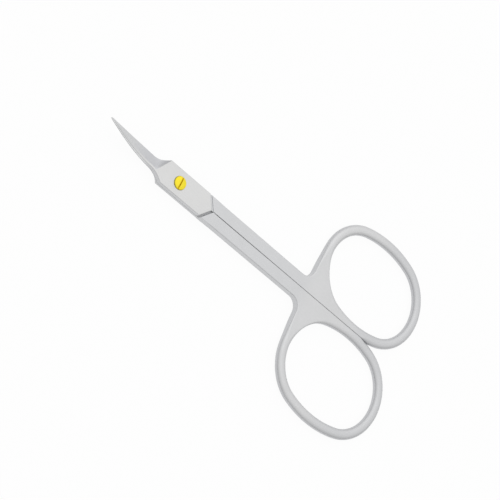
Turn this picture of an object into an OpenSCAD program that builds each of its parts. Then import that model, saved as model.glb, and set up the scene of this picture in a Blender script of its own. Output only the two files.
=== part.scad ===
// Cuticle scissors: two crossed steel levers with curved needle blades, turning on one slotted screw.
// The pivot axis is Z at X = 0, Y = 0. The blades point along +X, and Z = 0 is the surface they lie on.

/* [Handles] */
// Thickness of the shanks and of the finger rings
handle_t = 1.7; // [1.5:0.1:2.4]
// Slit left between the two shanks when the scissors are closed
parting_gap = 0.15; // [0.1:0.05:0.4]
// Radius of the inside corner between a shank and its finger ring
web_fillet_r = 2.5; // [1.5:0.1:3]

/* [Finger rings] */
// From the pivot back to the front of the finger opening
ring_front = 40.7; // [36:0.1:48]
// Length of the finger opening, along the scissors
ring_length = 26.5; // [23.5:0.6:29.5]
// Breadth of the finger opening, across the scissors
ring_breadth = 19; // [17.5:0.6:21]
// Width of the ring's band, seen from above
ring_wall = 2.3; // [1.9:0.05:2.6]
// Steel between the finger opening and the middle of the scissors
ring_inner_wall = 1.85; // [1.6:0.05:1.95]
// Steel between the finger opening and the front of the ring
web_wall = 2.4; // [2.35:0.05:3.2]
// Radius of the ring band's rounded edges
ring_round = 0.7; // [0.3:0.05:0.7]

/* [Joint plates] */
// Width of the joint plates, and of both shanks together
plate_w = 5.4; // [5:0.1:6]
// Running gap between the two plates and between the two blades
plate_gap = 0.06; // [0.04:0.01:0.1]
// How far the upper plate stands above the shanks
plate_raise = 0.2; // [0.1:0.05:0.4]
// From the pivot back to the point of the plates' arrow-shaped rear end
arrow_x = 9.3; // [8.8:0.1:12]
// Length of the arrow-shaped rear end
arrow_run = 2.1; // [1.5:0.1:3]
// Gap between a plate's rear end and the shank it stops at
arrow_gap = 0.45; // [0.2:0.05:0.6]
// From the pivot to the shoulders where the plates narrow
shoulder_x = 3.9; // [3.6:0.1:4.6]

/* [Blades] */
// From the pivot to the blade tips, seen from above
blade_reach = 20.5; // [17.5:0.25:24.5]
// Length of the curved shoulder between plate and blade
shoulder_run = 3.6; // [3:0.1:4]
// Width of a blade at its root
blade_w = 2.6; // [2.2:0.1:3.2]
// Thickness of a blade's back at its root
blade_t = 0.78; // [0.6:0.02:0.86]
// Thickness of a blade's back at its tip
tip_t = 0.28; // [0.2:0.02:0.4]
// Thickness left along the cutting edge
edge_t = 0.1; // [0.06:0.01:0.16]
// How full the blade's outline is: 1 tapers it straight, more keeps it wide for longer
taper = 1.5; // [1:0.05:2]
// Width of the tip's rounded end
tip_w = 0.2; // [0.12:0.02:0.4]
// How far the tips curve up out of the flat
tip_rise = 3.4; // [2.4:0.1:5]
// From the pivot to where the blades start to curve up
bend_x = 6.3; // [6:0.1:7.2]
// How the curve is shared out: 1 slopes evenly, more bends towards the tips
bend_power = 1.5; // [1.4:0.05:2.2]
// From the pivot to where the grinding of the outer face starts, in the middle of the blade
grind_x = 5.35; // [5.15:0.05:5.8]
// How far that starting line leans forward for each mm towards the blade's back
grind_slant = 0.55; // [0.3:0.05:0.55]
// Length over which the grinding reaches its full depth
grind_run = 1.6; // [1:0.1:2.4]
// Width of the unground strip along a blade's back
back_strip = 0.45; // [0.3:0.05:0.6]
// Depth of the hollow ground into a blade's outer face
hollow = 0.08; // [0:0.01:0.12]

/* [Screw] */
// Diameter of the screw's head
head_d = 2.8; // [2.6:0.1:3.4]
// Height of the head's straight side
head_h = 0.5; // [0.4:0.05:0.9]
// Height of the dome on the head
dome_h = 0.15; // [0.1:0.05:0.3]
// Depth that the head is let into the upper plate
head_sink = 0.3; // [0.2:0.05:0.4]
// Gap all round the head in its recess
head_gap = 0.04; // [0.03:0.01:0.15]
// Diameter of the plain bearing part that the upper plate turns on
journal_d = 2; // [1.8:0.1:2.2]
// Gap all round the bearing part
journal_gap = 0.03; // [0.02:0.01:0.08]
// Diameter of the threaded end, drawn plain
thread_d = 1.6; // [1.4:0.1:1.7]
// Gap all round the threaded end
thread_gap = 0.02; // [0.01:0.01:0.05]
// How far the threaded end stays above the underside
thread_recess = 0.05; // [0.05:0.05:0.15]
// Width of the screwdriver slot
slot_w = 0.35; // [0.25:0.05:0.6]
// Depth of the screwdriver slot
slot_depth = 0.35; // [0.2:0.05:0.45]
// Angle of the slot to the scissors' length
slot_angle = 90; // [0:5:175]

/* [Hidden] */

UPPER = 1;
LOWER = -1;
steel = "gainsboro";
gold = "gold";
smooth_fn = 96;
// Cuts run this far past the solid that they open
past = 1;

// Heights of the two plates' touching faces and of the upper plate's top
lower_face_z = (handle_t - plate_gap) / 2;
upper_face_z = (handle_t + plate_gap) / 2;
plate_top_z = handle_t + plate_raise;

// The finger opening is an oval of four tangent arcs. The centres of its end and side arcs lie on
// right triangles with these sides.
short_side = 7;
long_side = 24;
slant_side = 25;
oval_unit = (ring_length - ring_breadth) / 2 / (short_side + long_side - slant_side);
end_offset = short_side * oval_unit;
side_offset = long_side * oval_unit;
ring_a = ring_length / 2;
ring_b = ring_breadth / 2;
ring_end_r = ring_a - end_offset;
side_r = ring_b + side_offset;
ring_x = -(ring_front + ring_a);
ring_y = ring_inner_wall + ring_b;

// Where the ring's outside leaves the slit between the shanks
ring_leave_x = ring_x - sqrt(pow(side_r + ring_wall, 2)
    - pow(ring_y + side_offset - parting_gap / 2, 2));
web_x = -(ring_front - web_wall);
web_top_x = -(ring_front - ring_wall);
// How far up towards the ring's middle the web's front stays straight
web_share = 0.3;
// How far the shanks and plates run back into the web
web_lap = 1;

// The plates' arrow-shaped end, and the same line set back by the gap
half_plate = plate_w / 2;
arrow_slope = arrow_run / half_plate;
arrow_back = arrow_gap * sqrt(1 + arrow_slope * arrow_slope);

// The plates are flat up to here, and from here on each lever's front is one swept form
plate_end_x = 3.5;
// The strip along the back keeps at least this share of the half width between it and the middle
strip_inside = 0.3;
// The outer face's ridge stays inside this share of the half width
ridge_inside = 0.9;
// How sharply the grinding cuts in where it starts
cut_power = 3;
face_columns = 3;
blade_root_x = shoulder_x + shoulder_run;
bend_run = blade_reach - bend_x;
shoulder_steps = 26;
blade_steps = 20;

function clamp01(v) = max(0, min(1, v));
function ease(v) = clamp01(v) * clamp01(v) * (3 - 2 * clamp01(v));
function mix(a, b, share) = a + (b - a) * share;

// Height that the bent blades have gained at a distance r from the pivot axis.
// It is the same all round the axis, so the blades slide past each other at every angle.
function rise(r) = r <= bend_x ? 0 : tip_rise * pow((r - bend_x) / bend_run, bend_power);

// Half width of a lever's front, seen from above: plate, concave shoulder, then the tapering blade
function along_shoulder(x) = clamp01((x - shoulder_x) / shoulder_run);
function along_blade(x) = clamp01((x - blade_root_x) / (blade_reach - blade_root_x));
function half_w(x) = x < blade_root_x
    ? mix(blade_w, plate_w, pow(1 - along_shoulder(x), 2)) / 2
    : mix(tip_w, blade_w, 1 - pow(along_blade(x), taper)) / 2;

// Thickness of the back: full up to where the grinding starts, then thinner towards the tip
function back_t(x, root_t) =
    mix(mix(root_t, blade_t, ease((x - grind_x) / shoulder_run)), tip_t, along_blade(x));

// Across the blade, where the strip along the back ends and where the flat outer face ends
function strip_y(x) = max(half_w(x) - back_strip, half_w(x) * strip_inside);
function ridge_y(x) = max(-ridge_inside * half_w(x), min((x - grind_x) / grind_slant, strip_y(x)));

// Height of the outer face: flat, then cut down into a shallow hollow that falls towards the edge
function share_across(x, y) = clamp01((strip_y(x) - y) / (strip_y(x) + half_w(x)));
function hollowed(t, share) = mix(t, edge_t, share) - 4 * hollow * min(1, t) * share * (1 - share);
function cut_share(x, y) = 1 - pow(1 - clamp01((x - grind_x - grind_slant * y) / grind_run), cut_power);
function face_height(x, y, t) = mix(t, hollowed(t, share_across(x, y)), cut_share(x, y));

// One cross-section: edge at -Y, back at +Y, heights measured from the inner face
function section(x, root_t) =
    let (w = half_w(x), t = back_t(x, root_t), r = ridge_y(x))
    concat(
        [[-w, 0], [w, 0], [w, t], [r, t]],
        [for (i = [1 : face_columns]) let (y = mix(r, -w, i / face_columns)) [y, face_height(x, y, t)]]
    );

// Stations along the front: close together over the shoulder, then even along the blade
stations = concat(
    [for (i = [0 : shoulder_steps - 1]) mix(plate_end_x, blade_root_x, i / shoulder_steps)],
    [for (i = [0 : blade_steps]) mix(blade_root_x, blade_reach, i / blade_steps)]
);

// A section point in place: the lower lever is the upper one turned over about X, then bent the same way
function placed(x, p, side, face_z) = [x, side * p[0], face_z + rise(norm([x, p[0]])) + side * p[1]];

// Plate, shoulder and blade of one lever in front of plate_end_x
module lever_front(side, face_z, root_t) {
    sections = [for (x = stations) [for (p = section(x, root_t)) placed(x, p, side, face_z)]];
    n = len(sections[0]);
    last = len(stations) - 1;
    walls = [for (s = [0 : last - 1], i = [0 : n - 1]) let (j = (i + 1) % n)
        each [[s * n + i, s * n + j, (s + 1) * n + j], [s * n + i, (s + 1) * n + j, (s + 1) * n + i]]];
    root = [for (i = [1 : n - 2]) [0, i + 1, i]];
    tip = [for (i = [1 : n - 2]) [last * n, last * n + i, last * n + i + 1]];
    outward = [for (f = concat(walls, root, tip)) [f[0], f[2], f[1]]];
    polyhedron(points = [for (s = sections) each s], faces = outward);
}

// The four-arc oval, grown by a distance from the finger opening
module oval(grow) {
    strip = end_offset + (ring_end_r + grow) * short_side / slant_side;
    for (end = [-1, 1]) translate([end * end_offset, 0]) circle(r = ring_end_r + grow, $fn = smooth_fn);
    intersection() {
        for_side(1) circle(r = side_r + grow, $fn = 2 * smooth_fn);
        for_side(-1) circle(r = side_r + grow, $fn = 2 * smooth_fn);
        square([2 * strip, 2 * (ring_b + grow)], center = true);
    }
}

module for_side(side) {
    translate([0, side * side_offset]) children();
}

// The ring band's rounded cross-section, its inside face at the given radius
module band_section(inner_r) {
    for (u = [ring_round, ring_wall - ring_round], v = [ring_round, handle_t - ring_round])
        translate([inner_r + u, v]) circle(r = ring_round, $fn = smooth_fn / 2);
    translate([inner_r + ring_round, 0]) square([ring_wall - 2 * ring_round, handle_t]);
    translate([inner_r, ring_round]) square([ring_wall, handle_t - 2 * ring_round]);
}

// The finger ring's band: four full rings, each cut to the part of the oval that is its own
module ring_band() {
    far = 2 * ring_length / slant_side;
    far_x = end_offset + short_side * far;
    far_y = long_side * far;
    for (turn = [0, 180]) rotate([0, 0, turn]) {
        intersection() {
            translate([end_offset, 0, 0]) rotate_extrude($fn = smooth_fn) band_section(ring_end_r);
            translate([0, 0, -past]) linear_extrude(handle_t + 2 * past)
                polygon([[end_offset, 0], [far_x, -far_y], [2 * far_x, 0], [far_x, far_y]]);
        }
        intersection() {
            translate([0, -side_offset, 0]) rotate_extrude($fn = 2 * smooth_fn) band_section(side_r);
            translate([0, 0, -past]) linear_extrude(handle_t + 2 * past)
                polygon([[-end_offset, 0], [end_offset, 0], [far_x, far_y], [-far_x, far_y]]);
        }
    }
}

// Plan of one shank, from its ring to a front line that slants like the arrow
module shank_plan(front_x) {
    polygon([
        [web_x - web_lap, parting_gap / 2],
        [front_x + arrow_slope * parting_gap / 2, parting_gap / 2],
        [front_x + arrow_run, half_plate],
        [web_x - web_lap, half_plate]
    ]);
}

// Plan of one plate together with its own shank, up to where the swept front takes over
module plate_plan() {
    polygon([
        [web_x - web_lap, parting_gap / 2],
        [-arrow_x, parting_gap / 2],
        [-arrow_x, 0],
        [-arrow_x + arrow_run, -half_plate],
        [plate_end_x, -half_plate],
        [plate_end_x, half_plate],
        [web_x - web_lap, half_plate]
    ]);
}

// Plan of the raised top plate, with its arrow-shaped rear end
module arrow_plan() {
    polygon([
        [-arrow_x, 0],
        [-arrow_x + arrow_run, -half_plate],
        [plate_end_x, -half_plate],
        [plate_end_x, half_plate],
        [-arrow_x + arrow_run, half_plate]
    ]);
}

// Plan of the web that joins the shank to the ring, outside the band's middle
module web_plan() {
    fillet_root = web_fillet_r / 2;
    difference() {
        union() {
            polygon([
                [web_x, parting_gap / 2],
                [web_x, mix(half_plate, ring_y, web_share)],
                [web_top_x, ring_y],
                [ring_x, ring_y],
                [ring_leave_x, parting_gap / 2]
            ]);
            difference() {
                translate([web_x - fillet_root, half_plate - fillet_root])
                    square(web_fillet_r + fillet_root);
                translate([web_x + web_fillet_r, half_plate + web_fillet_r])
                    circle(r = web_fillet_r, $fn = smooth_fn);
            }
        }
        translate([ring_x, ring_y]) oval(ring_wall / 2);
    }
}

// Ring, web and shank of one lever, on the +Y side
module handle() {
    difference() {
        translate([ring_x, ring_y, 0]) ring_band();
        translate([ring_x - ring_length, parting_gap / 2 - ring_wall - past, -past])
            cube([2 * ring_length, ring_wall + past, handle_t + 2 * past]);
    }
    linear_extrude(handle_t) web_plan();
    linear_extrude(handle_t) shank_plan(-arrow_x - arrow_back);
}

// The lever that lies underneath: handle on +Y, plate in the lower layer, screw hole
module lower_half() {
    color(steel) difference() {
        union() {
            handle();
            linear_extrude(lower_face_z) plate_plan();
            lever_front(LOWER, lower_face_z, lower_face_z);
        }
        translate([0, 0, -past])
            cylinder(r = thread_d / 2 + thread_gap, h = handle_t + 2 * past, $fn = smooth_fn);
    }
}

// The lever on top: handle on -Y, plate in the upper layer, bearing hole and recess for the head
module upper_half() {
    color(steel) difference() {
        union() {
            mirror([0, 1, 0]) handle();
            translate([0, 0, upper_face_z]) linear_extrude(handle_t - upper_face_z)
                mirror([0, 1, 0]) plate_plan();
            translate([0, 0, upper_face_z]) linear_extrude(plate_top_z - upper_face_z) arrow_plan();
            lever_front(UPPER, upper_face_z, plate_top_z - upper_face_z);
        }
        cylinder(r = journal_d / 2 + journal_gap, h = plate_top_z + past, $fn = smooth_fn);
        translate([0, 0, plate_top_z - head_sink])
            cylinder(r = head_d / 2 + head_gap, h = head_sink + past, $fn = smooth_fn);
    }
}

// The pivot screw: domed head with a slot, plain bearing part, and the end held in the lower plate
module pivot_screw() {
    seat_z = plate_top_z - head_sink + journal_gap;
    head_r = head_d / 2;
    dome_r = (head_r * head_r + dome_h * dome_h) / (2 * dome_h);
    top_z = seat_z + head_h + dome_h;
    color(gold) difference() {
        union() {
            translate([0, 0, thread_recess])
                cylinder(d = thread_d, h = lower_face_z - thread_recess, $fn = smooth_fn);
            translate([0, 0, lower_face_z])
                cylinder(d = journal_d, h = seat_z - lower_face_z, $fn = smooth_fn);
            intersection() {
                translate([0, 0, seat_z]) cylinder(d = head_d, h = head_h + dome_h, $fn = smooth_fn);
                translate([0, 0, top_z - dome_r]) sphere(r = dome_r, $fn = 2 * smooth_fn);
            }
        }
        translate([0, 0, top_z - slot_depth]) rotate([0, 0, slot_angle])
            translate([-head_d, -slot_w / 2, 0]) cube([2 * head_d, slot_w, slot_depth + past]);
    }
}

lower_half();
upper_half();
pivot_screw();
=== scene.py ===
"""Looks of a pair of cuticle scissors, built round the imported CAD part.

Lengths in the code are millimetres unless a name ends in _m, and meshes are written in metres.
"""

import logging
import math
from collections.abc import Callable, Sequence
from dataclasses import dataclass, field
from enum import Enum

import bmesh
import bpy
from mathutils import Matrix, Vector

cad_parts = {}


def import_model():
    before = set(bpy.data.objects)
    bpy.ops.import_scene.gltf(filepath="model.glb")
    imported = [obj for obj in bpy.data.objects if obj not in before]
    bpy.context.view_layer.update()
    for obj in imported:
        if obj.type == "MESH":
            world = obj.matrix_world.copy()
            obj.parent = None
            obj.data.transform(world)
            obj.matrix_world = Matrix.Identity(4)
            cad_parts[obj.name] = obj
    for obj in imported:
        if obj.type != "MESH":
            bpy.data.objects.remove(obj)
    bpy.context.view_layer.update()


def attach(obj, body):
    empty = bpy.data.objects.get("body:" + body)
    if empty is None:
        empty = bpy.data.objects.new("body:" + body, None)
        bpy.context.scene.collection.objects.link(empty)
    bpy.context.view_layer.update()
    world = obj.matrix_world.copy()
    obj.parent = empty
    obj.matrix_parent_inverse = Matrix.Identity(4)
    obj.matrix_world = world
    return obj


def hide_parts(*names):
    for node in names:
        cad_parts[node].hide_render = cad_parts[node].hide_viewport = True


LOG = logging.getLogger("scissors")
Point2 = tuple[float, float]
Point3 = tuple[float, float, float]
Mesh = bmesh.types.BMesh
Socket = bpy.types.NodeSocket

MM = 0.001
# Vertices nearer than this are made one
MERGE_DIST = 1e-5
# Points of an outline nearer than this are the same
SAME_POINT = 1e-4
# Keeps the inset of a sharp corner from running away
MITRE_LIMIT = 0.35
# Sides of a round hole and of the screw
ROUND_SIDES = 96
# The right triangle that sets out the finger opening's four arcs
SHORT_SIDE, LONG_SIDE, SLANT_SIDE = 7, 24, 25
# A noise stays mostly between these
NOISE_LOW, NOISE_HIGH = 0.2, 0.8
# Octaves of a fine noise and of a cloudy one, and how strong each is next to the one before
FINE_DETAIL, CLOUD_DETAIL = 4.0, 3.0
NOISE_ROUGHNESS = 0.6
BUMP_DEPTH_M = 0.00002


class Side(Enum):
    """The lever that lies on top, and the one underneath."""

    UPPER = 1
    LOWER = -1


class Finish(Enum):
    """The steel's finishes, and the darker steel of painted shade on the ledge, by their place in a
    lever's list of materials.
    """

    SATIN = 0
    GROUND = 1
    # Painted shade: darker steel for the ledge in the gap behind the plate
    SHADED_LEDGE = 2


@dataclass(frozen=True)
class Sizes:
    """The CAD part's sizes that the visible pieces follow."""

    handle_t: float = 1.7
    parting_gap: float = 0.15
    web_fillet_r: float = 2.5
    ring_front: float = 40.7
    ring_length: float = 26.5
    ring_breadth: float = 19.0
    ring_wall: float = 2.3
    ring_inner_wall: float = 1.85
    web_wall: float = 2.4
    plate_w: float = 5.4
    plate_gap: float = 0.06
    plate_raise: float = 0.2
    arrow_x: float = 9.3
    arrow_run: float = 2.1
    arrow_gap: float = 0.45
    shoulder_x: float = 3.9
    blade_reach: float = 20.5
    shoulder_run: float = 3.6
    blade_w: float = 2.6
    blade_t: float = 0.78
    tip_t: float = 0.28
    edge_t: float = 0.1
    taper: float = 1.5
    tip_w: float = 0.2
    tip_rise: float = 3.4
    bend_x: float = 6.3
    bend_power: float = 1.5
    back_strip: float = 0.45
    grind_x: float = 5.35
    grind_slant: float = 0.55
    grind_run: float = 1.6
    hollow: float = 0.08
    head_d: float = 2.8
    head_h: float = 0.5
    dome_h: float = 0.15
    head_sink: float = 0.3
    head_gap: float = 0.04
    journal_d: float = 2.0
    journal_gap: float = 0.03
    thread_d: float = 1.6
    thread_gap: float = 0.02
    thread_recess: float = 0.05
    slot_w: float = 0.35
    slot_depth: float = 0.35
    slot_angle: float = 90.0

    @property
    def lower_face_z(self) -> float:
        """Height of the lower plate's touching face."""
        return (self.handle_t - self.plate_gap) / 2

    @property
    def upper_face_z(self) -> float:
        """Height of the upper plate's touching face."""
        return (self.handle_t + self.plate_gap) / 2

    @property
    def plate_top_z(self) -> float:
        """Height of the upper plate's top."""
        return self.handle_t + self.plate_raise

    @property
    def arrow_slope(self) -> float:
        """How far the plate's arrow-shaped end runs forward for each millimetre across."""
        return self.arrow_run / (self.plate_w / 2)

    @property
    def arrow_lean(self) -> float:
        """Length along the scissors for each millimetre square to the arrow-shaped end."""
        return math.sqrt(1 + self.arrow_slope * self.arrow_slope)

    @property
    def ring_x(self) -> float:
        """Where the finger opening's centre is along the scissors."""
        return -(self.ring_front + self.ring_length / 2)

    @property
    def ring_y(self) -> float:
        """How far the finger opening's centre is from the scissors' middle."""
        return self.ring_inner_wall + self.ring_breadth / 2

    @property
    def blade_root_x(self) -> float:
        """Where the shoulder ends and the blade's taper starts."""
        return self.shoulder_x + self.shoulder_run

    def rise(self, r: float) -> float:
        """Height that the bent blades have gained.

        Args:
            r: distance from the pivot axis.

        Returns:
            The height over the flat part.
        """
        share = max(0.0, r - self.bend_x) / (self.blade_reach - self.bend_x)
        return self.tip_rise * share**self.bend_power


def clamp01(value: float) -> float:
    """Returns the value kept between 0 and 1."""
    return max(0.0, min(1.0, value))


def ease(value: float) -> float:
    """Returns a smooth step from 0 to 1."""
    v = clamp01(value)
    return v * v * (3 - 2 * v)


def mix(a: float, b: float, share: float) -> float:
    """Returns the value that lies a share of the way from a to b."""
    return a + (b - a) * share


# Mesh helpers


def linked(name: str, bm: Mesh) -> bpy.types.Object:
    """Turns a bmesh into an object of the scene.

    Args:
        name: the object's name.
        bm: the geometry, which is freed.

    Returns:
        The linked object.
    """
    mesh = bpy.data.meshes.new(name)
    bm.to_mesh(mesh)
    bm.free()
    obj = bpy.data.objects.new(name, mesh)
    bpy.context.scene.collection.objects.link(obj)
    return obj


def mesh_object(name: str, bm: Mesh, sharp_deg: float) -> bpy.types.Object:
    """Turns a bmesh in millimetres into an object in metres at the origin.

    Args:
        name: the object's name.
        bm: the geometry, which is freed.
        sharp_deg: edges sharper than this stay sharp, and so do those where the finish changes.

    Returns:
        The linked object.
    """
    bmesh.ops.remove_doubles(bm, verts=bm.verts, dist=MERGE_DIST)
    bmesh.ops.recalc_face_normals(bm, faces=bm.faces)
    for edge in bm.edges:
        pair = edge.link_faces
        same = len(pair) == 2 and pair[0].material_index == pair[1].material_index
        edge.smooth = same and edge.calc_face_angle(0.0) < math.radians(sharp_deg)
    for face in bm.faces:
        face.smooth = True
    bmesh.ops.scale(bm, vec=(MM, MM, MM), verts=bm.verts)
    obj = linked(name, bm)
    weighted = obj.modifiers.new("weighted_normals", "WEIGHTED_NORMAL")
    weighted.keep_sharp = True
    return obj


def join(bm: Mesh, part: Mesh) -> None:
    """Adds one bmesh to another.

    Args:
        bm: the mesh that grows.
        part: the mesh that is added, which is freed.
    """
    spare = bpy.data.meshes.new("spare")
    part.to_mesh(spare)
    part.free()
    bm.from_mesh(spare)
    bpy.data.meshes.remove(spare)


def bridge(bm: Mesh, loops: Sequence[Sequence[Point3]]) -> list[list[bmesh.types.BMVert]]:
    """Skins a row of closed loops that have equally many points.

    Args:
        bm: the mesh to add to.
        loops: the loops, in order.

    Returns:
        The loops' vertices.
    """
    rows = [[bm.verts.new(p) for p in loop] for loop in loops]
    for a, b in zip(rows, rows[1:], strict=False):
        n = len(a)
        for i in range(n):
            j = (i + 1) % n
            bm.faces.new((a[i], a[j], b[j], b[i]))
    return rows


def drilled(bm: Mesh, holes: Sequence[Point3]) -> Mesh:
    """Drills round holes along the pivot's axis.

    Args:
        bm: the closed solid to drill, which is freed.
        holes: radius, lower end and upper end of each hole.

    Returns:
        The drilled solid.
    """
    body = linked("step", bm)
    used = [body]
    for radius, low, high in holes:
        drill = bmesh.new()
        bmesh.ops.create_cone(
            drill,
            cap_ends=True,
            segments=ROUND_SIDES,
            radius1=radius,
            radius2=radius,
            depth=high - low,
            matrix=Matrix.Translation((0, 0, (low + high) / 2)),
        )
        used.append(linked("step", drill))
        cut = body.modifiers.new("drill", "BOOLEAN")
        cut.operation = "DIFFERENCE"
        cut.solver = "EXACT"
        cut.object = used[-1]
    used_meshes = [obj.data for obj in used]
    result = bpy.data.meshes.new_from_object(body.evaluated_get(bpy.context.evaluated_depsgraph_get()))
    out = bmesh.new()
    out.from_mesh(result)
    for obj in used:
        bpy.data.objects.remove(obj)
    for mesh in (*used_meshes, result):
        bpy.data.meshes.remove(mesh)
    return out


# Outlines


@dataclass
class Outline:
    """A closed line seen from above, with the radius its edge is rounded to at each point."""

    points: list[Point2] = field(default_factory=list)
    radii: list[float] = field(default_factory=list)

    def add(self, x: float, y: float, radius: float) -> None:
        """Adds one point, unless it is the same as the last one.

        Args:
            x: place along the scissors.
            y: place across the scissors.
            radius: the edge's rounding there.
        """
        if self.points and math.dist(self.points[-1], (x, y)) < SAME_POINT:
            return
        self.points.append((x, y))
        self.radii.append(radius)

    def close(self) -> None:
        """Drops the last point, which repeats the first one."""
        self.points.pop()
        self.radii.pop()

    def line(
        self, start: Point2, end: Point2, radius: Callable[[float, float], float], step: float = 0.3
    ) -> None:
        """Adds a straight run of points.

        Args:
            start: first point.
            end: last point.
            radius: gives the edge's rounding at a point.
            step: greatest distance between points.
        """
        n = max(1, math.ceil(math.dist(start, end) / step))
        for i in range(n + 1):
            x, y = mix(start[0], end[0], i / n), mix(start[1], end[1], i / n)
            self.add(x, y, radius(x, y))

    def arc(
        self,
        centre: Point2,
        r: float,
        start_deg: float,
        end_deg: float,
        radius: Callable[[float, float], float],
        step: float = 0.25,
    ) -> None:
        """Adds an arc of points.

        Args:
            centre: the arc's centre.
            r: the arc's radius.
            start_deg: first angle.
            end_deg: last angle, past the first one when the arc runs anticlockwise.
            radius: gives the edge's rounding at a point.
            step: greatest distance between points.
        """
        turn = math.radians(end_deg - start_deg)
        n = max(2, math.ceil(abs(turn) * r / step))
        for i in range(n + 1):
            a = math.radians(start_deg) + turn * i / n
            x, y = centre[0] + r * math.cos(a), centre[1] + r * math.sin(a)
            self.add(x, y, radius(x, y))

    def inset(self, distances: Sequence[float]) -> list[Point2]:
        """Moves each point inwards, to the left of the line's direction.

        Args:
            distances: how far each point moves.

        Returns:
            The moved points.
        """
        n = len(self.points)
        out: list[Point2] = []
        for i, (p, d) in enumerate(zip(self.points, distances, strict=True)):
            before, after = Vector(self.points[i - 1]), Vector(self.points[(i + 1) % n])
            here = Vector(p)
            a, b = (here - before).normalized(), (after - here).normalized()
            na, nb = Vector((-a.y, a.x)), Vector((-b.y, b.x))
            mid = na + nb
            mid = mid / max(mid.length_squared / 2, MITRE_LIMIT)
            out.append((p[0] + mid.x * d, p[1] + mid.y * d))
        return out


@dataclass(frozen=True)
class Oval:
    """The finger opening's line of four tangent arcs, and lines parallel to it."""

    sizes: Sizes

    @property
    def unit(self) -> float:
        """The unit that the arcs' centres are set out in."""
        spare = self.sizes.ring_length - self.sizes.ring_breadth
        return spare / (2 * (SHORT_SIDE + LONG_SIDE - SLANT_SIDE))

    @property
    def end_offset(self) -> float:
        """From the oval's centre to an end arc's centre."""
        return SHORT_SIDE * self.unit

    @property
    def side_offset(self) -> float:
        """From the oval's centre to a side arc's centre."""
        return LONG_SIDE * self.unit

    @property
    def end_r(self) -> float:
        """Radius of the opening's end arcs."""
        return self.sizes.ring_length / 2 - self.end_offset

    @property
    def side_r(self) -> float:
        """Radius of the opening's side arcs."""
        return self.sizes.ring_breadth / 2 + self.side_offset

    @property
    def half_angle(self) -> float:
        """Half of the angle that a side arc spans, in degrees."""
        return math.degrees(math.atan2(SHORT_SIDE, LONG_SIDE))


class Edge:
    """How strongly the handle's edges are rounded, place by place."""

    # Roundings
    RING = 1.05
    WEB = 0.42
    SHANK = 0.3
    PARTING = 0.12
    FRONT = 0.07
    # Where and over which length one rounding turns into the next
    RING_AHEAD = 2.2
    RING_RUN = 3.5
    SIDE_FROM = 6.0
    SIDE_SHARE = 0.5
    FRONT_BEHIND = 5.0
    FRONT_RUN = 4.0
    WEB_AHEAD = 5.5
    WEB_ASIDE = 1.5
    WEB_RUN = 6.0
    LEAVE_RUN = 3.0

    def __init__(self, sizes: Sizes, leave_x: float) -> None:
        """Keeps the sizes.

        Args:
            sizes: the part's sizes.
            leave_x: where the two rings part.
        """
        self.sizes = sizes
        self.leave_x = leave_x

    def outside(self, x: float, y: float) -> float:
        """Rounding of the outer edge: strong round the ring, fading towards the shank and its front.

        Args:
            x: place along the scissors.
            y: place across them.

        Returns:
            The radius in millimetres.
        """
        s = self.sizes
        side = max(0.0, y - self.SIDE_FROM) * self.SIDE_SHARE
        ring = ease((-(s.ring_front - self.RING_AHEAD) - x + side) / self.RING_RUN)
        front = ease((x + s.arrow_x - s.arrow_run + self.FRONT_BEHIND) / self.FRONT_RUN)
        return mix(mix(self.SHANK, self.RING, ring), self.FRONT, front)

    def inside(self, x: float, y: float) -> float:
        """Rounding of the opening's edge: weaker where the web joins.

        Args:
            x: place along the scissors.
            y: place across them.

        Returns:
            The radius in millimetres.
        """
        s = self.sizes
        ahead = ease((x - s.ring_x - self.WEB_AHEAD) / self.WEB_RUN)
        return mix(self.RING, self.WEB, ahead * ease((s.ring_y + self.WEB_ASIDE - y) / self.WEB_RUN))

    def parting(self, x: float, _y: float) -> float:
        """Rounding of the edge along the slit: stronger where the rings part."""
        return mix(self.RING, self.PARTING, ease((x - self.leave_x) / self.LEAVE_RUN))

    def front(self, _x: float, _y: float) -> float:
        """Rounding of the shank's slanted end."""
        return self.FRONT


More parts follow.
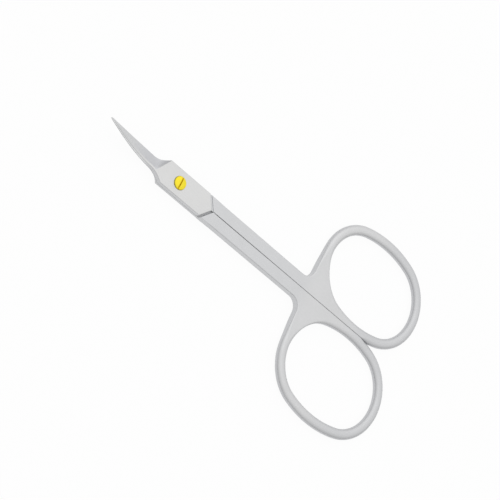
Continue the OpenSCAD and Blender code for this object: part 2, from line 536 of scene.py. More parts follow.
@dataclass
class Handle:
    """Finger ring, web and shank of one lever."""

    sizes: Sizes
    side: Side
    profile_steps: int = 8
    slit_steps: int = 60
    fillet_step: float = 0.1
    opening_step: float = 0.2
    flat_strip: float = 0.04
    crown: float = 0.72
    slit_rear: float = 0.32
    slit_front: float = 0.65

    def front_x(self) -> float:
        """Where the shank's slanted end meets the middle, a gap short of the plates' arrow-shaped end."""
        return -self.sizes.arrow_x - self.sizes.arrow_gap * self.sizes.arrow_lean

    def slit(self, x: float) -> float:
        """Half of the slit between the shanks, which narrows towards the rings.

        Args:
            x: place along the scissors.

        Returns:
            The distance in millimetres.
        """
        s = self.sizes
        share = ease((x + s.ring_front) / (s.ring_front - s.arrow_x))
        return mix(self.slit_rear, self.slit_front, share) * s.parting_gap / 2

    def leave_x(self) -> float:
        """Where the ring's outer line leaves the slit.

        Returns:
            The place in millimetres.
        """
        s, oval = self.sizes, Oval(self.sizes)
        drop = s.ring_y + oval.side_offset - self.slit(-s.ring_front)
        return s.ring_x - math.sqrt((oval.side_r + s.ring_wall) ** 2 - drop**2)

    def outer(self) -> Outline:
        """Returns the handle's outer line, anticlockwise, for the +Y side.

        Returns:
            The closed outline.
        """
        s, oval, leave_x = self.sizes, Oval(self.sizes), self.leave_x()
        edge = Edge(s, leave_x)
        half_plate = s.plate_w / 2
        front = self.front_x()
        gap, gap_front = self.slit(-s.ring_front), self.slit(front)
        corner_x = front + s.arrow_slope * gap_front
        end_c, back_c = (s.ring_x + oval.end_offset, s.ring_y), (s.ring_x - oval.end_offset, s.ring_y)
        far_c, near_c = (s.ring_x, s.ring_y - oval.side_offset), (s.ring_x, s.ring_y + oval.side_offset)
        end_r, side_r = oval.end_r + s.ring_wall, oval.side_r + s.ring_wall
        line = Outline()
        line.line((leave_x, gap), (-s.ring_front, gap), edge.parting)
        for i in range(1, self.slit_steps):
            x = mix(-s.ring_front, corner_x, i / self.slit_steps)
            line.add(x, self.slit(x), edge.PARTING)
        line.line((corner_x, gap_front), (front + s.arrow_run, half_plate), edge.front)
        # The fillet's centre: its radius away from the shank's side and from the web's front
        fillet = s.web_fillet_r
        centre = (-(s.ring_front - s.web_wall) + fillet, half_plate + fillet)
        line.line((front + s.arrow_run, half_plate), (centre[0], half_plate), edge.outside)
        # The web's front runs from the fillet to where it touches the ring's end arc
        away = Vector(end_c) - Vector(centre)
        bearing = math.degrees(math.atan2(away.y, away.x))
        touch = bearing + math.degrees(math.acos(clamp01((end_r + fillet) / away.length)))
        line.arc(centre, fillet, 270, touch, edge.outside, self.fillet_step)
        start = touch - 180
        across, up = math.cos(math.radians(start)), math.sin(math.radians(start))
        line.line(line.points[-1], (end_c[0] + end_r * across, end_c[1] + end_r * up), edge.outside)
        half = oval.half_angle
        leave = 360 + math.degrees(math.atan2(gap - near_c[1], leave_x - near_c[0]))
        for arc_centre, r, first, last in (
            (end_c, end_r, start, 90 - half),
            (far_c, side_r, 90 - half, 90 + half),
            (back_c, end_r, 90 + half, 270 - half),
            (near_c, side_r, 270 - half, leave),
        ):
            line.arc(arc_centre, r, first, last, edge.outside)
        line.close()
        return line

    def opening(self) -> Outline:
        """Returns the finger opening's line, clockwise, for the +Y side.

        Returns:
            The closed outline.
        """
        s, oval = self.sizes, Oval(self.sizes)
        edge = Edge(s, self.leave_x())
        half = oval.half_angle
        line = Outline()
        for along, across, r, first, last in (
            (oval.end_offset, 0.0, oval.end_r, 90 - half, half - 90),
            (0.0, oval.side_offset, oval.side_r, 270 + half, 270 - half),
            (-oval.end_offset, 0.0, oval.end_r, 270 - half, 90 + half),
            (0.0, -oval.side_offset, oval.side_r, 90 + half, 90 - half),
        ):
            centre = (s.ring_x + along, s.ring_y + across)
            line.arc(centre, r, first, last, edge.inside, self.opening_step)
        line.close()
        return line

    def wall(self, bm: Mesh, line: Outline) -> tuple[list[bmesh.types.BMEdge], list[bmesh.types.BMEdge]]:
        """Builds the rounded wall that stands on a line.

        Args:
            bm: the mesh to add to.
            line: the line, with the solid on its left.

        Returns:
            The open edges at the bottom and at the top.
        """
        t, n = self.sizes.handle_t, self.profile_steps
        strip = line.inset([r + self.flat_strip for r in line.radii])
        loops: list[list[Point3]] = [[(p[0], p[1], 0.0) for p in strip]]
        for base, way in ((0.0, 1), (t, -1)):
            for i in range(n + 1):
                a = (i / n if way > 0 else 1 - i / n) * math.pi / 2
                inner = line.inset([r * (1 - math.sin(a)) for r in line.radii])
                drop = [self.crown * r * (1 - math.cos(a)) for r in line.radii]
                loops.append([(p[0], p[1], base + way * d) for p, d in zip(inner, drop, strict=True)])
        loops.append([(p[0], p[1], t) for p in strip])
        rows = bridge(bm, loops)
        ends = []
        for row in (rows[0], rows[-1]):
            ends.append([bm.edges.get((row[i], row[(i + 1) % len(row)])) for i in range(len(row))])
        return ends[0], ends[1]

    def build(self, bm: Mesh) -> None:
        """Adds the handle to a mesh.

        Args:
            bm: the mesh to add to.
        """
        part = bmesh.new()
        outer_low, outer_top = self.wall(part, self.outer())
        inner_low, inner_top = self.wall(part, self.opening())
        for edges, way in ((outer_low + inner_low, -1), (outer_top + inner_top, 1)):
            bmesh.ops.triangle_fill(part, edges=edges, use_beauty=True, normal=(0, 0, way))
        if self.side is Side.UPPER:
            whole = part.verts[:] + part.edges[:] + part.faces[:]
            bmesh.ops.mirror(part, geom=whole, axis="Y", merge_dist=-1)
            doomed = [v for v in part.verts if v.co.y > 0]
            bmesh.ops.delete(part, geom=doomed, context="VERTS")
        bmesh.ops.recalc_face_normals(part, faces=part.faces)
        join(bm, part)


@dataclass
class Blade:
    """Joint plate, shoulder and curved blade of one lever, skinned over close cross-sections."""

    sizes: Sizes
    side: Side
    edge_round: float = 0.16
    round_share_t: float = 0.35
    round_share_w: float = 0.3
    strip_inside: float = 0.3
    ridge_inside: float = 0.9
    shoulder_power: int = 2
    cut_power: int = 3
    rear_round: float = 0.26
    rear_drop: float = 0.8
    rear_reach: float = 0.6
    rear_shares: tuple[float, ...] = (0.3, 0.7)
    tongue_run: float = 1.5
    tongue_inset: float = 0.01
    tongue_slit: float = 0.02
    valley: float = 0.12
    ledge_drop: float = 0.4
    ledge_clear: float = 0.06
    ledge_inside: float = 0.3
    plate_end_x: float = 3.5
    hole_past: float = 1.0
    flat_steps: int = 8
    round_steps: int = 8
    face_steps: int = 16
    plate_steps: int = 12
    grind_steps: int = 90
    blade_steps: int = 80
    ground_facing: float = 0.2

    def half_w(self, x: float) -> float:
        """Half of the width at a place along the blade.

        Args:
            x: place along the blade.

        Returns:
            Half of the width in millimetres.
        """
        s = self.sizes
        if x < s.blade_root_x:
            back = (1 - clamp01((x - s.shoulder_x) / s.shoulder_run)) ** self.shoulder_power
            return mix(s.blade_w, s.plate_w, back) / 2
        return mix(s.tip_w, s.blade_w, 1 - self.along(x) ** s.taper) / 2

    def along(self, x: float) -> float:
        """How far along the blade a place is, from 0 at its root to 1 at its tip."""
        s = self.sizes
        return clamp01((x - s.blade_root_x) / (s.blade_reach - s.blade_root_x))

    def root_t(self) -> float:
        """Thickness of the plate."""
        s = self.sizes
        return s.plate_top_z - s.upper_face_z if self.side is Side.UPPER else s.lower_face_z

    def back_t(self, x: float) -> float:
        """Thickness of the back at a place along the blade.

        Args:
            x: place along the blade.

        Returns:
            The thickness in millimetres.
        """
        s = self.sizes
        thinned = ease((x - s.grind_x) / s.shoulder_run)
        return mix(mix(self.root_t(), s.blade_t, thinned), s.tip_t, self.along(x))

    def strip_y(self, x: float) -> float:
        """Where the unground strip along the back ends, across the blade."""
        w = self.half_w(x)
        return max(w - self.sizes.back_strip, w * self.strip_inside)

    def past_line(self, x: float, y: float) -> float:
        """How far a place lies past the line where the grinding starts, measured along the blade."""
        s = self.sizes
        return x - s.grind_x - s.grind_slant * y

    def ridge_y(self, x: float) -> float:
        """Where a cross-section's flat outer face ends and the ground face starts."""
        line_y = self.past_line(x, 0.0) / self.sizes.grind_slant
        return max(-self.ridge_inside * self.half_w(x), min(line_y, self.strip_y(x)))

    def face_z(self, x: float, y: float) -> float:
        """Height of the outer face over the inner one, at a place on the ground side of the strip.

        Args:
            x: place along the blade.
            y: place across it, positive towards the back.

        Returns:
            The height.
        """
        s = self.sizes
        w, t, strip = self.half_w(x), self.back_t(x), self.strip_y(x)
        across = clamp01((strip - y) / (strip + w))
        ground = mix(t, s.edge_t, across) - 4 * s.hollow * min(1.0, t) * across * (1 - across)
        cut = 1 - (1 - clamp01(self.past_line(x, y) / s.grind_run)) ** self.cut_power
        inside = clamp01(1 - (y + w) / self.edge_round)
        return min(mix(t, ground, cut), t - self.edge_round * (1 - math.sqrt(1 - inside * inside)))

    def section(self, x: float) -> list[Point2]:
        """Returns the top of a cross-section, as places across and heights, from the back to the edge.

        Args:
            x: place along the blade.

        Returns:
            The points: the back's rounding, the flat face or strip, and the ground face.
        """
        w, t, ridge = self.half_w(x), self.back_t(x), self.ridge_y(x)
        back = min(self.edge_round, t * self.round_share_t, w * self.round_share_w)
        pts: list[Point2] = []
        for i in range(self.round_steps):
            a = math.pi / 2 * i / self.round_steps
            pts.append((w - back * (1 - math.cos(a)), t - back * (1 - math.sin(a))))
        pts += [(mix(w - back, ridge, i / self.flat_steps), t) for i in range(self.flat_steps)]
        for i in range(self.face_steps + 1):
            y = mix(ridge, -w, i / self.face_steps)
            pts.append((y, self.face_z(x, y)))
        return pts

    def place(self, x: float, y: float, height: float) -> Point3:
        """Puts a point of a cross-section in its place.

        Args:
            x: place along the blade.
            y: place across it, positive towards the back.
            height: height over the inner face.

        Returns:
            The point in the part's frame.
        """
        s = self.sizes
        way = self.side.value
        face_z = s.upper_face_z if self.side is Side.UPPER else s.lower_face_z
        bend = s.rise(math.hypot(x, y)) if x > 0 else 0.0
        return (x, way * y, face_z + bend + way * height)

    def loop(self, top: Sequence[Point3]) -> list[Point3]:
        """Closes a row of top points, given as x, y and height, with the inner face below it."""
        return [self.place(*p) for p in top] + [self.place(p[0], p[1], 0.0) for p in reversed(top)]

    def plate_start_x(self) -> float:
        """Where the plate's arrow-shaped end gives way to plain cross-sections."""
        return -self.sizes.arrow_x + self.sizes.arrow_run + self.rear_reach

    def stations(self) -> list[float]:
        """Returns the places along the blade that get a cross-section.

        Returns:
            The places in millimetres, in order.
        """
        s = self.sizes
        start, dense_end = self.plate_start_x(), s.grind_x + s.grind_run
        out = [mix(start, self.plate_end_x, i / self.plate_steps) for i in range(self.plate_steps)]
        out += [mix(self.plate_end_x, dense_end, i / self.grind_steps) for i in range(self.grind_steps)]
        out += [mix(dense_end, s.blade_reach, i / self.blade_steps) for i in range(self.blade_steps + 1)]
        return out

    def rear(self) -> list[list[Point3]]:
        """Returns the cross-sections of the plate's arrow-shaped end, from the point forwards.

        Returns:
            Closed rows of points, all of the same length.
        """
        s = self.sizes
        slope, lean = s.arrow_slope, s.arrow_lean
        base, top = self.section(-s.arrow_x), self.root_t()
        middle = min(range(len(base)), key=lambda i: abs(base[i][0]))
        base[middle] = (0.0, base[middle][1])
        loops: list[list[Point3]] = []
        for i in range(self.round_steps + 1):
            a = math.pi / 2 * i / self.round_steps
            set_in = self.rear_round * (1 - math.cos(a)) * lean
            lowered = self.rear_round * self.rear_drop * (1 - math.sin(a))
            row = [(-s.arrow_x + slope * abs(y) + set_in, y, min(z, top - lowered)) for y, z in base]
            loops.append(self.loop(row))
        end = self.plate_start_x()
        for share in self.rear_shares:
            starts = [-s.arrow_x + slope * abs(y) + self.rear_round * lean for y, _z in base]
            row = [(mix(x, end, share), y, z) for x, (y, z) in zip(starts, base, strict=True)]
            loops.append(self.loop(row))
        return loops

    def block(
        self, bm: Mesh, plan: Sequence[Point2], low: float, high: float
    ) -> list[bmesh.types.BMFace]:
        """Adds a closed block over a plan of four corners.

        Args:
            bm: the mesh to add to.
            plan: the corners along and across the blade.
            low: height of one end over the inner face.
            high: height of the other end.

        Returns:
            Its faces.
        """
        first = [bm.verts.new(self.place(x, y, low)) for x, y in plan]
        last = [bm.verts.new(self.place(x, y, high)) for x, y in plan]
        faces = [bm.faces.new(first), bm.faces.new(list(reversed(last)))]
        for i in range(len(plan)):
            j = (i + 1) % len(plan)
            faces.append(bm.faces.new((first[j], first[i], last[i], last[j])))
        return faces

    def tongue(self, bm: Mesh) -> None:
        """Adds the layer that carries the plate on into its own shank, a little below the outer faces.

        Args:
            bm: the mesh to add to.
        """
        s = self.sizes
        outer = s.plate_w / 2 - self.tongue_inset
        plan = [
            (-s.arrow_x - self.tongue_run, -self.tongue_slit),
            (-s.arrow_x - self.tongue_run, -outer),
            (-s.arrow_x + s.arrow_slope * outer + self.rear_reach, -outer),
            (-s.arrow_x + self.rear_reach, -self.tongue_slit),
        ]
        self.block(bm, plan, self.tongue_inset, s.lower_face_z - self.valley)

    def ledge(self, bm: Mesh) -> list[bmesh.types.BMFace]:
        """Adds the ledge of the lower lever in the gap between its shank and the upper plate.

        Args:
            bm: the mesh to add to.

        Returns:
            The ledge's faces.
        """
        s = self.sizes
        slope, inner, outer = s.arrow_slope, self.tongue_slit, s.plate_w / 2 - self.tongue_inset
        rear = -s.arrow_x - s.arrow_gap * s.arrow_lean - self.ledge_inside
        front = -s.arrow_x - self.ledge_clear * s.arrow_lean
        plan = [
            (rear + slope * inner, -inner),
            (rear + slope * outer, -outer),
            (front + slope * outer, -outer),
            (front + slope * inner, -inner),
        ]
        return self.block(bm, plan, self.tongue_inset, s.lower_face_z - (s.handle_t - self.ledge_drop))

    def holes(self) -> list[Point3]:
        """Returns radius, lower end and upper end of the plate's holes for the screw.

        Returns:
            One row of three values for each hole.
        """
        s, past = self.sizes, self.hole_past
        if self.side is Side.LOWER:
            return [(s.thread_d / 2 + s.thread_gap, -past, s.lower_face_z + past)]
        return [
            (s.journal_d / 2 + s.journal_gap, s.upper_face_z - past, s.plate_top_z + past),
            (s.head_d / 2 + s.head_gap, s.plate_top_z - s.head_sink, s.plate_top_z + past),
        ]

    def finish(self, face: bmesh.types.BMFace) -> Finish:
        """Returns the finish of a face: ground if it faces outwards, past the line and off the strip.

        Args:
            face: a face of the plate or blade.

        Returns:
            Its finish, which is satin anywhere else.
        """
        c, way = face.calc_center_median(), self.side.value
        ground = self.past_line(c.x, way * c.y) > 0 and way * c.y < self.strip_y(c.x)
        return Finish.GROUND if ground and way * face.normal.z > self.ground_facing else Finish.SATIN

    def build(self, bm: Mesh) -> None:
        """Adds the plate and blade to a mesh, each face with its finish, and the lower lever's ledge in
        darker steel as painted shade.

        Args:
            bm: the mesh to add to.
        """
        part = bmesh.new()
        loops = self.rear() + [self.loop([(x, *p) for p in self.section(x)]) for x in self.stations()]
        rows = bridge(part, loops)
        for row in (rows[0], rows[-1]):
            n = len(row)
            for i in range(n // 2 - 1):
                part.faces.new((row[i], row[i + 1], row[n - 2 - i], row[n - 1 - i]))
        bmesh.ops.recalc_face_normals(part, faces=part.faces)
        part = drilled(part, self.holes())
        self.tongue(part)
        # The ledge's faces get darker steel: painted shade in the gap
        ledge_shade = set(self.ledge(part)) if self.side is Side.LOWER else set()
        bmesh.ops.recalc_face_normals(part, faces=part.faces)
        for face in part.faces:
            finish = Finish.SHADED_LEDGE if face in ledge_shade else self.finish(face)
            face.material_index = finish.value
        join(bm, part)


@dataclass
class Lever:
    """One lever of the scissors: handle, plate and blade."""

    sizes: Sizes
    side: Side
    name: str
    node: str
    body: str
    sharp_deg: float = 16.0

    def build(self, satin: "Steel", ground: "Steel", ledge_shade: "Steel") -> bpy.types.Object:
        """Builds the lever and hangs it on its body.

        Args:
            satin: the finish of the handle and the plate.
            ground: the finish of the hollow-ground face.
            ledge_shade: the darker steel of the ledge in the gap behind the plate, painted shade.

        Returns:
            The lever's object.
        """
        bm = bmesh.new()
        Handle(self.sizes, self.side).build(bm)
        Blade(self.sizes, self.side).build(bm)
        obj = mesh_object(self.name, bm, self.sharp_deg)
        obj.data.materials.append(satin.material())
        obj.data.materials.append(ground.material())
        # The lower lever's ledge gets darker steel as painted shade
        if self.side is Side.LOWER:
            obj.data.materials.append(ledge_shade.material())
        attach(obj, self.body)
        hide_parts(self.node)
        LOG.info("%s: %d faces", self.name, len(obj.data.polygons))
        return obj


@dataclass
class Screw:
    """The slotted pivot screw."""

    sizes: Sizes
    rim: float = 0.16
    rim_lift: float = 0.02
    rim_steps: int = 6
    dome_steps: int = 12
    clear: float = 0.01
    slot_reach: float = 1e-3
    sharp_deg: float = 30.0

    @property
    def seat_z(self) -> float:
        """Height of the head's underside."""
        s = self.sizes
        return s.plate_top_z - s.head_sink + s.journal_gap

    @property
    def top_z(self) -> float:
        """Height of the head's highest point."""
        return self.seat_z + self.sizes.head_h + self.sizes.dome_h

    def solid(self) -> Mesh:
        """Returns the head, the bearing part and the threaded end, drawn plain, without the slot.

        Returns:
            The closed mesh.
        """
        s, seat, top = self.sizes, self.seat_z, self.top_z
        head_r = s.head_d / 2
        dome_r = (head_r**2 + s.dome_h**2) / (2 * s.dome_h)
        shoulder = s.lower_face_z + self.clear
        line: list[Point2] = [(0.0, s.thread_recess), (s.thread_d / 2, s.thread_recess)]
        line += [(s.thread_d / 2, shoulder), (s.journal_d / 2, shoulder)]
        line += [(s.journal_d / 2, seat), (head_r, seat)]
        for i in range(self.rim_steps + 1):
            a = math.pi / 2 * i / self.rim_steps
            z = seat + s.head_h - self.rim * (1 - math.sin(a)) + self.rim_lift
            line.append((head_r - self.rim * (1 - math.cos(a)), z))
        start = math.asin((head_r - self.rim) / dome_r)
        lift = seat + s.head_h + self.rim_lift - (top - dome_r + dome_r * math.cos(start))
        for i in range(1, self.dome_steps + 1):
            left = 1 - i / self.dome_steps
            a = start * left
            line.append((dome_r * math.sin(a), top - dome_r + dome_r * math.cos(a) + lift * left))
        bm = bmesh.new()
        verts = [bm.verts.new((r, 0.0, z)) for r, z in line]
        edges = [bm.edges.new(pair) for pair in zip(verts, verts[1:], strict=False)]
        bmesh.ops.spin(
            bm,
            geom=verts + edges,
            cent=(0, 0, 0),
            axis=(0, 0, 1),
            angle=math.tau,
            steps=ROUND_SIDES,
            use_duplicate=False,
        )
        bmesh.ops.remove_doubles(bm, verts=bm.verts, dist=SAME_POINT)
        bmesh.ops.recalc_face_normals(bm, faces=bm.faces)
        return bm

    def slice(self, planes: Sequence[tuple[Point3, Point3]]) -> Mesh:
        """Cuts the screw with planes and closes each cut.

        Args:
            planes: a point on each plane, and its normal towards the side that goes away.

        Returns:
            What is left.
        """
        bm = self.solid()
        for point, normal in planes:
            cut = bmesh.ops.bisect_plane(
                bm,
                geom=bm.verts[:] + bm.edges[:] + bm.faces[:],
                plane_co=point,
                plane_no=normal,
                clear_outer=True,
                dist=MERGE_DIST,
            )
            rim = [g for g in cut["geom_cut"] if isinstance(g, bmesh.types.BMEdge)]
            bmesh.ops.contextual_create(bm, geom=rim)
        return bm

    def build(self, plating: "Gold", slot: "Gold") -> bpy.types.Object:
        """Builds the screw and hangs it on its body.

        Args:
            plating: the finish of the head.
            slot: the darker gold inside the slot, painted shade.

        Returns:
            The screw's object.
        """
        s = self.sizes
        floor_z = self.top_z - s.slot_depth
        half = s.slot_w / 2
        left, right = (0, half, 0), (0, -half, 0)
        bm = bmesh.new()
        join(bm, self.slice([(left, (0, -1, 0))]))
        join(bm, self.slice([(right, (0, 1, 0))]))
        join(bm, self.slice([(left, (0, 1, 0)), (right, (0, -1, 0)), ((0, 0, floor_z), (0, 0, 1))]))
        # Faces inside the slot get the darker gold of painted shade
        for face in bm.faces:
            c = face.calc_center_median()
            inside = abs(c.y) < half + self.slot_reach and c.z > floor_z - self.slot_reach
            face.material_index = int(inside)
        turn = Matrix.Rotation(math.radians(s.slot_angle), 3, "Z")
        bmesh.ops.rotate(bm, cent=(0, 0, 0), matrix=turn, verts=bm.verts)
        obj = mesh_object("screw", bm, self.sharp_deg)
        obj.data.materials.append(plating.material())
        obj.data.materials.append(slot.material())
        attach(obj, "lower_lever")
        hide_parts("pivot_screw")
        LOG.info("screw: %d faces", len(obj.data.polygons))
        return obj


# Finishes


class Nodes:
    """A small helper for putting a material's or a world's nodes together."""

    def __init__(self, owner: bpy.types.Material | bpy.types.World, output: str) -> None:
        """Clears the owner's nodes and adds its output.

        Args:
            owner: the material or the world.
            output: the output node's type.
        """
        owner.use_nodes = True
        self.tree = owner.node_tree
        self.tree.nodes.clear()
        self.out = self.add(output)

    def add(self, kind: str, **values: object) -> bpy.types.Node:
        """Adds a node and sets its properties and inputs.

        Args:
            kind: the node's type.
            values: properties by name, or inputs by name with blanks as underscores.

        Returns:
            The node.
        """
        node = self.tree.nodes.new(kind)
        for key, value in values.items():
            if hasattr(node, key):
                setattr(node, key, value)
            else:
                self.feed(node.inputs[key.replace("_", " ")], value)
        return node

    def feed(self, target: Socket, value: float | Point3 | Socket) -> None:
        """Joins a socket to an input, or sets a number, a vector or a colour on it.

        Args:
            target: the input.
            value: what it gets.
        """
        if isinstance(value, Socket):
            self.tree.links.new(value, target)
        elif target.type == "RGBA":
            target.default_value = (*value, 1.0)
        else:
            target.default_value = value

    def calc(self, operation: str, *values: float | Socket) -> Socket:
        """Adds a sum of one or two numbers and returns its result.

        Args:
            operation: the sum's name.
            values: one or two numbers, or sockets that give them.

        Returns:
            The socket of the result.
        """
        node = self.add("ShaderNodeMath", operation=operation)
        for target, value in zip(node.inputs, values, strict=False):
            self.feed(target, value)
        return node.outputs["Value"]

    def dot(self, vector: Socket, other: Point3) -> Socket:
        """Returns the dot product of a vector and a constant one.

        Args:
            vector: the first vector.
            other: the constant one.

        Returns:
            The socket of the product.
        """
        node = self.add("ShaderNodeVectorMath", operation="DOT_PRODUCT")
        self.feed(node.inputs[0], vector)
        self.feed(node.inputs[1], other)
        return node.outputs["Value"]

    def scaled(self, colour: Point3 | Socket, factor: Socket) -> Socket:
        """Returns a colour times a number.

        Args:
            colour: a colour, or a socket that gives it.
            factor: the number.

        Returns:
            The new colour.
        """
        node = self.add("ShaderNodeVectorMath", operation="SCALE", Scale=factor)
        self.feed(node.inputs[0], colour)
        return node.outputs["Vector"]

    def parts(self, vector: Socket) -> bpy.types.bpy_prop_collection:
        """Returns the outputs X, Y and Z of a vector that is taken apart."""
        return self.add("ShaderNodeSeparateXYZ", Vector=vector).outputs

    def ramp(
        self, source: Socket, low: float, high: float, to_low: float = 0.0, to_high: float = 1.0
    ) -> Socket:
        """Maps a value smoothly from one range to another.

        Args:
            source: the value.
            low: where the ramp starts.
            high: where it ends.
            to_low: result at the start.
            to_high: result at the end.

        Returns:
            The mapped value.
        """
        node = self.add("ShaderNodeMapRange", interpolation_type="SMOOTHSTEP")
        limits = {"From Min": low, "From Max": high, "To Min": to_low, "To Max": to_high}
        for key, value in {"Value": source, **limits}.items():
            self.feed(node.inputs[key], value)
        return node.outputs["Result"]

    def noise(self, place: Socket, scale: Point3, detail: float) -> Socket:
        """Makes a stretched noise.

        Args:
            place: the coordinates.
            scale: cycles per metre along each axis.
            detail: how many octaves it has.

        Returns:
            Its value, from 0 to 1.
        """
        stretch = self.add("ShaderNodeMapping", Vector=place, Scale=scale)
        node = self.add("ShaderNodeTexNoise", Scale=1.0, Detail=detail, Roughness=NOISE_ROUGHNESS)
        self.feed(node.inputs["Vector"], stretch.outputs["Vector"])
        return node.outputs["Fac"]

    def blend(self, factor: Socket, a: Point3 | Socket, b: Point3 | Socket) -> Socket:
        """Blends two colours.

        Args:
            factor: 0 for the first, 1 for the second.
            a: first colour, or a socket that gives it.
            b: second colour, or a socket that gives it.

        Returns:
            The blended colour.
        """
        node = self.add("ShaderNodeMix", data_type="RGBA")
        for index, value in ((0, factor), (6, a), (7, b)):
            self.feed(node.inputs[index], value)
        return node.outputs[2]

    def metal(self, colour: Socket, roughness: Socket, height: Socket, strength: float) -> None:
        """Finishes a material as bare metal.

        Args:
            colour: its colour.
            roughness: its roughness.
            height: the bump's height.
            strength: the bump's strength.
        """
        bump = self.add("ShaderNodeBump", Strength=strength, Distance=BUMP_DEPTH_M, Height=height)
        shader = self.add("ShaderNodeBsdfPrincipled", Metallic=1.0, Base_Color=colour, Roughness=roughness)
        self.feed(shader.inputs["Normal"], bump.outputs["Normal"])
        self.feed(self.out.inputs["Surface"], shader.outputs["BSDF"])


@dataclass(frozen=True)
class Steel:
    """Bright steel in one of its finishes, with a fine grain and painted shade: steep sides darker than
    flat faces.

    A zone without a colour of its own takes that of the face or of the wall.
    """

    name: str
    face: Point3
    wall: Point3
    grain_scale: Point3
    web: Point3 | None = None
    ring: Point3 | None = None
    plate: Point3 | None = None
    tip: Point3 | None = None
    shank_wall: Point3 | None = None
    tip_wall: Point3 | None = None
    roughness: float = 0.42
    rough_spread: float = 0.05
    cloud_scale: float = 200.0
    grain: float = 0.02
    bump: float = 0.1
    flat_from: float = 0.3
    plate_from_m: float = 0.00172
    plate_to_m: float = 0.00186
    shank_from_m: float = -0.0407
    shank_to_m: float = -0.0357
    ring_from_m: float = -0.058
    ring_to_m: float = -0.05
    blade_from_m: float = 0.0058
    blade_to_m: float = 0.0108
    tip_from_m: float = 0.0073
    tip_to_m: float = 0.0153

    def material(self) -> bpy.types.Material:
        """Returns the material, which is made once.

        Returns:
            The material.
        """
        if self.name in bpy.data.materials:
            return bpy.data.materials[self.name]
        material = bpy.data.materials.new(self.name)
        n = Nodes(material, "ShaderNodeOutputMaterial")
        coords = n.add("ShaderNodeTexCoord").outputs
        place = n.parts(coords["Object"])
        # Painted shade: the steeper a face, the more it takes the darker side colours
        flat = n.ramp(n.calc("ABSOLUTE", n.parts(coords["Normal"])["Z"]), self.flat_from, 1.0)
        raised = n.ramp(place["Z"], self.plate_from_m, self.plate_to_m)
        ahead = n.ramp(place["X"], self.blade_from_m, self.blade_to_m)
        far = n.ramp(place["X"], self.tip_from_m, self.tip_to_m)
        shank = n.ramp(place["X"], self.shank_from_m, self.shank_to_m)
        web = n.ramp(place["X"], self.ring_from_m, self.ring_to_m)
        # Face and side colours change zone by zone: ring, web, shank, raised plate and tip; the lighter
        # tip colours are painted light
        face, wall = self.face, self.wall
        low = n.blend(web, self.ring or face, n.blend(shank, self.web or face, face))
        top = n.blend(far, n.blend(raised, low, self.plate or face), self.tip or face)
        side = n.blend(ahead, n.blend(shank, wall, self.shank_wall or wall), self.tip_wall or wall)
        grain = n.noise(coords["Object"], self.grain_scale, FINE_DETAIL)
        tone = n.ramp(grain, NOISE_LOW, NOISE_HIGH, 1 - self.grain, 1 + self.grain)
        cloud = n.noise(coords["Object"], (self.cloud_scale,) * 3, CLOUD_DETAIL)
        spread = self.rough_spread
        rough = n.ramp(cloud, NOISE_LOW, NOISE_HIGH, self.roughness - spread, self.roughness + spread)
        n.metal(n.scaled(n.blend(flat, side, top), tone), rough, grain, self.bump)
        return material


# Painted shade on the darker side colours, and painted light on the lighter tip and tip sides
SATIN = Steel(
    name="satin_steel",
    face=(0.665, 0.67, 0.68),
    web=(0.69, 0.692, 0.697),
    ring=(0.65, 0.655, 0.665),
    plate=(0.712, 0.712, 0.71),
    tip=(0.69, 0.695, 0.70),
    wall=(0.58, 0.585, 0.60),
    shank_wall=(0.61, 0.615, 0.625),
    tip_wall=(0.73, 0.735, 0.74),
    grain_scale=(700.0, 9000.0, 9000.0),
)
# Painted shade on the darker sides, and painted light on the lighter tip
GROUND = Steel(
    name="ground_steel",
    face=(0.63, 0.635, 0.655),
    tip=(0.70, 0.705, 0.71),
    wall=(0.42, 0.425, 0.435),
    tip_wall=(0.58, 0.585, 0.595),
    grain_scale=(9000.0, 900.0, 900.0),
)
# Darker steel for the ledge in the gap behind the plate: painted shade
SHADED_LEDGE = Steel(
    name="shaded_ledge_steel",
    face=(0.47, 0.475, 0.485),
    wall=(0.42, 0.425, 0.435),
    grain_scale=(9000.0, 900.0, 900.0),
    roughness=0.55,
)


@dataclass(frozen=True)
class Gold:
    """Bright yellow plating with the faint turning marks of a lathe, and painted shade: darker on steep
    sides.
    """

    name: str
    face: Point3
    wall: Point3
    roughness: float
    rough_spread: float = 0.04
    marks: float = 0.04
    marks_scale: float = 1200.0
    cloud_scale: float = 1500.0
    tone: float = 0.06
    flat_from: float = 0.3
    flat_to: float = 0.95

    def material(self) -> bpy.types.Material:
        """Returns the material, which is made once.

        Returns:
            The material.
        """
        if self.name in bpy.data.materials:
            return bpy.data.materials[self.name]
        material = bpy.data.materials.new(self.name)
        n = Nodes(material, "ShaderNodeOutputMaterial")
        coords = n.add("ShaderNodeTexCoord").outputs
        # Painted shade: steep sides take the darker wall colour
        flat = n.ramp(n.parts(coords["Normal"])["Z"], self.flat_from, self.flat_to)
        rings = n.add("ShaderNodeTexWave", wave_type="RINGS", rings_direction="Z", Distortion=1.0)
        n.feed(rings.inputs["Scale"], self.marks_scale)
        n.feed(rings.inputs["Vector"], coords["Object"])
        cloud = n.noise(coords["Object"], (self.cloud_scale,) * 3, CLOUD_DETAIL)
        tone = n.ramp(cloud, NOISE_LOW, NOISE_HIGH, 1 - self.tone, 1 + self.tone)
        spread = self.rough_spread
        rough = n.ramp(cloud, NOISE_LOW, NOISE_HIGH, self.roughness - spread, self.roughness + spread)
        colour = n.scaled(n.blend(flat, self.wall, self.face), tone)
        n.metal(colour, rough, rings.outputs["Fac"], self.marks)
        return material


# The darker wall colour is painted shade on the head's rim
GOLD = Gold(name="gold_plate", face=(0.94, 0.77, 0.05), wall=(0.72, 0.62, 0.06), roughness=0.38)
# Darker gold for the faces inside the slot: painted shade
SLOT_SHADE_GOLD = Gold(name="gold_slot_shade", face=(0.86, 0.64, 0.03), wall=(0.86, 0.64, 0.03), roughness=0.5)


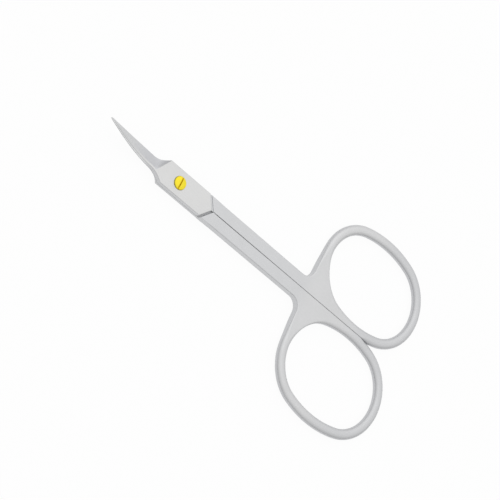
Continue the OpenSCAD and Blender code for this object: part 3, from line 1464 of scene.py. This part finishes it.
@dataclass(frozen=True)
class Paper:
    """The pale floor: washed out to white in the picture and the metal, plain paper as a light."""

    name: str = "paper"
    sheet: Point3 = (0.95, 0.95, 0.95)
    white: Point3 = (1.0, 1.0, 1.0)
    wash: float = 0.93
    mottle_scale: float = 40.0
    mottle: float = 0.005

    def material(self) -> bpy.types.Material:
        """Returns the material.

        Returns:
            The material.
        """
        material = bpy.data.materials.new(self.name)
        n = Nodes(material, "ShaderNodeOutputMaterial")
        coords = n.add("ShaderNodeTexCoord").outputs
        mottle = n.noise(coords["Object"], (self.mottle_scale,) * 3, FINE_DETAIL)
        tint = n.scaled(self.sheet, n.ramp(mottle, 0.0, 1.0, 1 - self.mottle, 1.0))
        rays = n.add("ShaderNodeLightPath").outputs
        seen = n.calc("MAXIMUM", rays["Is Camera Ray"], rays["Is Glossy Ray"])
        share = n.calc("MULTIPLY", n.calc("MAXIMUM", seen, rays["Is Transmission Ray"]), self.wash)
        shader = n.add("ShaderNodeBsdfPrincipled", Roughness=1.0, Specular_IOR_Level=0.0, Base_Color=tint)
        glow = n.add("ShaderNodeEmission", Strength=1.0, Color=self.white)
        both = n.add("ShaderNodeMixShader")
        sources = (share, shader.outputs["BSDF"], glow.outputs["Emission"])
        for target, source in zip(both.inputs, sources, strict=True):
            n.feed(target, source)
        n.feed(n.out.inputs["Surface"], both.outputs["Shader"])
        return material


# Studio


@dataclass
class Studio:
    """Floor, soft light, pale surround and an ordinary camera fitted to the photograph's outline."""

    azimuth_deg: float = 38.9
    elevation_deg: float = 51.35
    roll_deg: float = 84.39
    distance: float = 294.6
    pixels_per_mm: float = 4.8617
    centre_px: Point2 = (257.64, 254.57)
    aim: Point3 = (-24.609, 0.0, 0.0)
    picture_px: float = 500.0
    sensor: float = 36.0
    clip_start_m: float = 0.01
    clip_end_m: float = 10.0
    floor_half_m: float = 0.6
    surround: float = 0.655
    lean: Point3 = (-0.035, -0.16, 0.34)
    screen_side: Point3 = (-0.98, 0.17, 0.1)
    screen: float = 0.18
    screen_edge: float = 4.0
    lamp_place: Point3 = (60.0, -220.0, 420.0)
    lamp_size: float = 400.0
    lamp_watts: float = 0.07

    def floor(self) -> None:
        """Lays the floor."""
        bm = bmesh.new()
        bmesh.ops.create_grid(bm, x_segments=1, y_segments=1, size=self.floor_half_m)
        obj = linked("floor", bm)
        obj.data.materials.append(Paper().material())

    def world(self) -> None:
        """Sets the surround: soft light, strongest from above and one side, with a soft grey screen."""
        world = bpy.data.worlds.new("surround")
        bpy.context.scene.world = world
        n = Nodes(world, "ShaderNodeOutputWorld")
        direction = n.add("ShaderNodeTexCoord").outputs["Generated"]
        level = n.calc("ADD", n.dot(direction, self.lean), self.surround)
        towards = n.calc("MAXIMUM", n.dot(direction, self.screen_side), 0.0)
        grey = n.calc("MULTIPLY", n.calc("POWER", towards, self.screen_edge), self.screen)
        strength = n.calc("SUBTRACT", level, grey)
        light = n.add("ShaderNodeBackground", Color=(1.0, 1.0, 1.0), Strength=strength)
        n.feed(n.out.inputs["Surface"], light.outputs["Background"])

    def lamp(self) -> None:
        """Adds the area lamp that looks at the scissors."""
        data = bpy.data.lights.new("key", "AREA")
        data.shape = "SQUARE"
        data.size = self.lamp_size * MM
        data.energy = self.lamp_watts
        obj = bpy.data.objects.new("key", data)
        spot = Vector(self.lamp_place) * MM
        facing = (Vector(self.aim) * MM - spot).to_track_quat("-Z", "Y")
        obj.matrix_world = Matrix.Translation(spot) @ facing.to_matrix().to_4x4()
        bpy.context.scene.collection.objects.link(obj)

    def camera(self) -> None:
        """Sets up the camera that was fitted to the scissors' outline in the photograph."""
        az, el, roll = (math.radians(v) for v in (self.azimuth_deg, self.elevation_deg, self.roll_deg))
        away = Vector((math.cos(el) * math.cos(az), math.cos(el) * math.sin(az), math.sin(el)))
        right = Vector((-math.sin(az), math.cos(az), 0.0))
        up = away.cross(right)
        x_axis = right * math.cos(roll) + up * math.sin(roll)
        y_axis = -right * math.sin(roll) + up * math.cos(roll)
        data = bpy.data.cameras.new("camera")
        data.sensor_fit = "HORIZONTAL"
        data.sensor_width = self.sensor
        data.lens = self.pixels_per_mm * self.distance * self.sensor / self.picture_px
        data.shift_x = (self.picture_px / 2 - self.centre_px[0]) / self.picture_px
        data.shift_y = (self.centre_px[1] - self.picture_px / 2) / self.picture_px
        data.clip_start = self.clip_start_m
        data.clip_end = self.clip_end_m
        obj = bpy.data.objects.new("camera", data)
        spot = (Vector(self.aim) + away * self.distance) * MM
        basis = Matrix((x_axis, y_axis, away)).transposed().to_4x4()
        obj.matrix_world = Matrix.Translation(spot) @ basis
        bpy.context.scene.collection.objects.link(obj)
        bpy.context.scene.camera = obj

    def build(self) -> None:
        """Builds the whole studio."""
        self.floor()
        self.world()
        self.lamp()
        self.camera()
        bpy.context.scene.view_settings.view_transform = "Standard"


def main() -> None:
    """Builds the scissors and their studio, in order."""
    logging.basicConfig(level=logging.INFO, format="%(message)s")
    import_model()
    sizes = Sizes()
    finishes = (SATIN, GROUND, SHADED_LEDGE)
    Lever(sizes, Side.LOWER, "lower_lever_steel", "lower_half", "lower_lever").build(*finishes)
    Lever(sizes, Side.UPPER, "upper_lever_steel", "upper_half", "upper_lever").build(*finishes)
    Screw(sizes).build(GOLD, SLOT_SHADE_GOLD)
    Studio().build()


if __name__ == "__main__":
    main()
